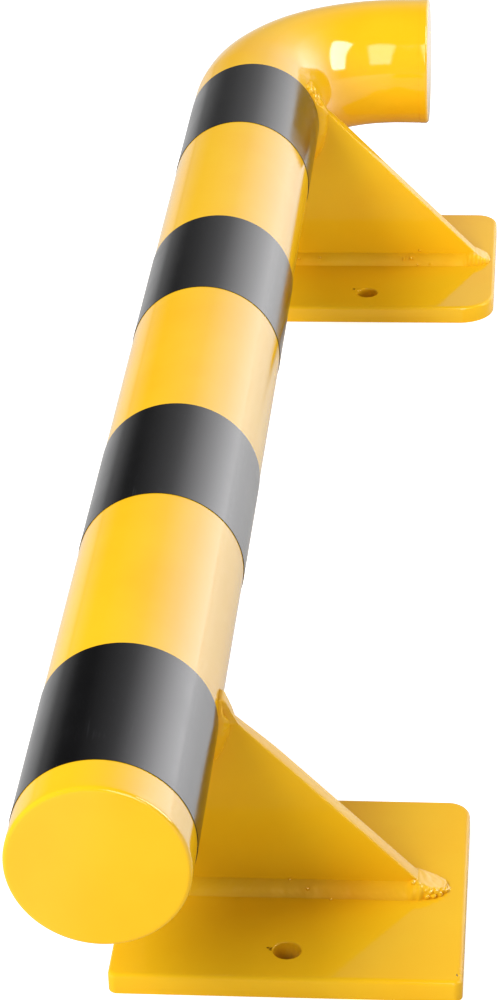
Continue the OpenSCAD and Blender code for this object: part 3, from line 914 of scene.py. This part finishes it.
def floor(half=5.0):
    """A plain pale floor that takes the guard's shadow and looks white to the camera, except through the
    anchor holes, where the floor under the plates is painted nearly black as painted shade. The guard's own
    mirror images show it polished on the right, with a painted glow there that rises towards the bright wall,
    painted shade in the dark places beside the gussets and a painted shadow beside the leg, and a dim painted
    glow on the left."""
    mesh = bpy.data.meshes.new("floor")
    mesh.from_pydata([(-half, -half, 0), (half, -half, 0), (half, half, 0), (-half, half, 0)], [],
                     [(0, 1, 2, 3)])
    made = new_object("floor", mesh)
    material, tree = new_material("matt_white_floor")
    place = add(tree, "ShaderNodeTexCoord", output="Object")
    x, y, _ = add(tree, "ShaderNodeSeparateXYZ", {"Vector": place}).node.outputs
    path = add(tree, "ShaderNodeLightPath").node.outputs
    # 1 on the open floor and 0 under the plates, where the floor is painted nearly black: painted shade that
    # shows through the anchor holes
    open_floor = 1.0
    for side in SIDES:
        low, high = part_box(f"{side}_base_plate")
        middle, reach = (low + high) / 2, (high - low) * 0.42
        in_x = add(tree, "ShaderNodeMath", {0: x, 1: middle.x, 2: reach.x}, operation="COMPARE")
        in_y = add(tree, "ShaderNodeMath", {0: y, 1: middle.y, 2: reach.y}, operation="COMPARE")
        under = add(tree, "ShaderNodeMath", {0: in_x, 1: in_y}, operation="MULTIPLY")
        outside = add(tree, "ShaderNodeMath", {0: 1.0, 1: under}, operation="SUBTRACT")
        open_floor = add(tree, "ShaderNodeMath", {0: open_floor, 1: outside}, operation="MULTIPLY")
    grey = add(tree, "ShaderNodeMath", {0: open_floor, 1: 0.87, 2: 0.03}, operation="MULTIPLY_ADD")
    darker = add(tree, "ShaderNodeMath", {0: grey, 1: 0.3}, operation="MULTIPLY")
    matt, dark = (add(tree, "ShaderNodeCombineXYZ", {"X": level, "Y": level, "Z": level})
                  for level in (grey, darker))
    lit = add(tree, "ShaderNodeBsdfDiffuse", {"Color": matt})
    to_camera = add(tree, "ShaderNodeMath", {0: path["Is Camera Ray"], 1: 0.7}, operation="MULTIPLY")
    glow = add(tree, "ShaderNodeMath", {0: to_camera, 1: open_floor}, operation="MULTIPLY")
    shine = add(tree, "ShaderNodeEmission", {"Strength": glow})
    seen_straight = add(tree, "ShaderNodeAddShader", {0: lit, 1: shine})
    # How the floor's painted glow and painted shade change across it: the axis, where a change starts and
    # ends, its values there
    close, further, by_leg, past_leg, from_leg, past_gusset, from_plate, leftwards, on_right = (
        add(tree, "ShaderNodeMapRange", {"Value": axis, "From Min": start, "From Max": end, "To Min": first,
                                         "To Max": last}, interpolation_type=kind)
        for axis, start, end, first, last, kind in (
            (x, -0.03, 0.13, 0.4, 0.7, "LINEAR"), (x, 0.13, 0.6, 0.0, 0.35, "LINEAR"),
            (y, 0.2, 0.28, 0.0, 1.0, "SMOOTHSTEP"), (y, 0.7, 0.5, 0.0, 1.0, "SMOOTHSTEP"),
            (x, 0.04, 0.16, 0.0, 1.0, "SMOOTHSTEP"), (y, -0.34, -0.25, 0.1, 1.0, "SMOOTHSTEP"),
            (x, 0.085, 0.125, 0.0, 1.0, "SMOOTHSTEP"), (x, -1.5, -0.1, 0.25, 0.75, "SMOOTHSTEP"),
            (x, -0.1, -0.06, 0.0, 1.0, "SMOOTHSTEP")))
    # The painted glow, which grows to the right, times the painted shadow beside the leg and the painted
    # shade beside the gussets
    painted_glow_right = add(tree, "ShaderNodeMath", {0: close, 1: further}, operation="ADD")
    beside_leg = add(tree, "ShaderNodeMath", {0: by_leg, 1: past_leg}, operation="MULTIPLY")
    painted_leg_shadow = add(tree, "ShaderNodeMix", {"Factor": beside_leg, "A": 1.0, "B": from_leg}, data_type="FLOAT")
    painted_gusset_shade = add(tree, "ShaderNodeMath", {0: past_gusset, 1: from_plate}, operation="MAXIMUM")
    for dims in (painted_leg_shadow, painted_gusset_shade):
        painted_glow_right = add(tree, "ShaderNodeMath", {0: painted_glow_right, 1: dims}, operation="MULTIPLY")
    # Polished, and glowing with the painted glow, which stands in for more reflected light
    polished = add(tree, "ShaderNodeBsdfPrincipled", {
        "Base Color": dark, "Roughness": 0.25, "IOR": 2.0, "Emission Strength": painted_glow_right})
    # A dim painted glow on the left
    dim = add(tree, "ShaderNodeEmission", {"Strength": leftwards})
    in_mirrors = add(tree, "ShaderNodeMixShader", {0: on_right, 1: dim, 2: polished})
    look = add(tree, "ShaderNodeMixShader", {0: mirrored_to_camera(tree, path), 1: seen_straight,
                                             2: in_mirrors})
    add(tree, "ShaderNodeOutputMaterial", {"Surface": look})
    material.cycles.emission_sampling = "NONE"
    mesh.materials.append(material)
    made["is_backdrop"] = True


LAMP_AWAY = 3.2
# The round soft lamps: azimuth and elevation in degrees, width in metres, and how bright each makes a white
# card that faces it
LAMPS = {"key": (-125, 50, 1.5, 0.53), "front": (-150, 35, 1.4, 0.33), "back": (60, 40, 1.4, 0.13)}


def lamp(name, kind, place, away, energy):
    """A lamp that shows in no mirror image. It shines back along the direction in which it is away."""
    data = bpy.data.lights.new(name, kind)
    data.energy = energy
    made = new_object(name, data)
    turned = away.to_track_quat("Z", "Y").to_matrix().to_4x4()
    made.matrix_world = Matrix.Translation(place) @ turned
    made.visible_glossy = False
    return data


def lights():
    """Three soft lamps, and a soft spot from the front on the right, which lifts the far end alone."""
    for name, (azimuth, elevation, width, level) in LAMPS.items():
        away = direction(azimuth, elevation)
        data = lamp(name, "AREA", away * LAMP_AWAY, away, level * (math.pi * LAMP_AWAY) ** 2)
        data.shape = "DISK"
        data.size = width
    place, target, level = Vector((1.6, -1.2, 0.4)), Vector((0.03, 0.45, 0.06)), 0.35
    away = place - target
    data = lamp("far_spot", "SPOT", place, away, level * 4 * math.pi ** 2 * away.length_squared)
    data.shadow_soft_size = 0.3
    data.spot_size = math.radians(19)
    data.spot_blend = 1.0


camera()
surroundings()
floor()
lights()
bpy.context.scene.view_settings.view_transform = "Standard"

tube_piece("guard_tube", guard_path(), TUBE_R, TUBE_WALL, YELLOW,
           **{"Wave Depth": 0.5 * MM, "Wave Start": BEND_START})
end_disc("near_end_disc", Vector((AXIS_X, cap_hi.y, AXIS_Z)), Vector((0, -1, 0)))
end_disc("leg_end_disc", Vector((tube_hi.x, LEG_Y, AXIS_Z)), Vector((1, 0, 0)))
for number in range(1, 5):
    band = f"hazard_band_{number}"
    band_lo, band_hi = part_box(band)
    steps = 8
    path = [(AXIS_X, band_lo.y + (band_hi.y - band_lo.y) * i / steps, AXIS_Z) for i in range(steps + 1)]
    tube_piece(band, path, (band_hi.x - band_lo.x) / 2, FILM_T, BLACK, "black_film")
for side in SIDES:
    base_plate(side)
    gusset(side)
    foot_weld(side)
    tube_weld(side)
    spatter(side)

[[list(corner) for corner in box] for box in (cad_box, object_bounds())]
